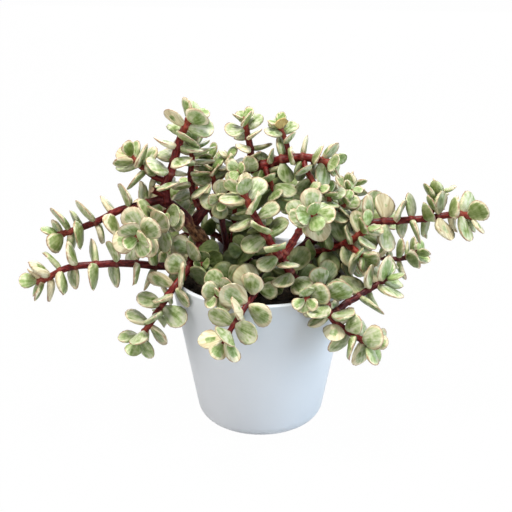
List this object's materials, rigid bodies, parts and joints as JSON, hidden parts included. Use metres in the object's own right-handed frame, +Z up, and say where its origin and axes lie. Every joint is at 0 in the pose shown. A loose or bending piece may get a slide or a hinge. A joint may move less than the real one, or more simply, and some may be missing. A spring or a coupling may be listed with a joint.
{
  "type": "potted elephant bush",
  "caption": "Bushy elephant bush: fleshy green leaves with cream edges in pairs on thin red stems, rooted in dark soil in a plain white tapered pot. A house plant that stands on its flat base.",
  "frame": {"origin": "the middle of the pot's flat base, on the surface it stands on", "axes": "+Z is up along the pot's axis, +X is to the right seen from the front, along the plant's widest spread, and +Y is away from the front"},
  "size_m": [0.3258, 0.2379, 0.2427],
  "materials": {
    "pot": "satin",
    "soil": "matte",
    "bark": "matte",
    "shoots": "satin"
  },
  "bodies": {
    "root": {"pot": "pot", "potting_soil": "soil", "left_limb": "bark", "middle_limb": "bark", "dark_limb": "bark", "right_limb": "bark", "back_left_limb": "bark", "back_limb": "bark", "back_right_limb": "bark", "upper_left_long": "shoots", "upper_left_upright": "shoots", "cut_stub": "shoots", "far_left_twig": "shoots", "left_rosette": "shoots", "left_front_rosette": "shoots", "front_left_hanging": "shoots", "lower_left_long": "shoots", "middle_upright": "shoots", "dark_shoot": "shoots", "front_left_rosette": "shoots", "inner_left_rosette": "shoots", "front_centre_hanging": "shoots", "upper_middle_twig": "shoots", "middle_twig": "shoots", "middle_front_twig": "shoots", "centre_left_twig": "shoots", "centre_upright": "shoots", "centre_right": "shoots", "centre_right_twig": "shoots", "centre_right_side": "shoots", "centre_twig": "shoots", "front_middle": "shoots", "front_right_rosette": "shoots", "inner_middle": "shoots", "inner_front": "shoots", "front_right_hanging": "shoots", "front_right_twig": "shoots", "right_lower": "shoots", "right_middle": "shoots", "right_front_rosette": "shoots", "inner_right": "shoots", "right_twig": "shoots", "right_upper": "shoots", "right_long": "shoots", "right_high_twig": "shoots", "right_back_twig": "shoots", "left_back_side": "shoots", "right_back_side": "shoots", "back_middle": "shoots", "back_left_low": "shoots", "back_left_high": "shoots", "back_left_hanging": "shoots", "back_left_upright": "shoots", "back_high": "shoots", "back_long": "shoots", "back_hanging": "shoots", "right_long_side": "shoots", "back_right_high": "shoots", "back_right_long": "shoots", "back_right_hanging": "shoots"}
  },
  "joints": []
}
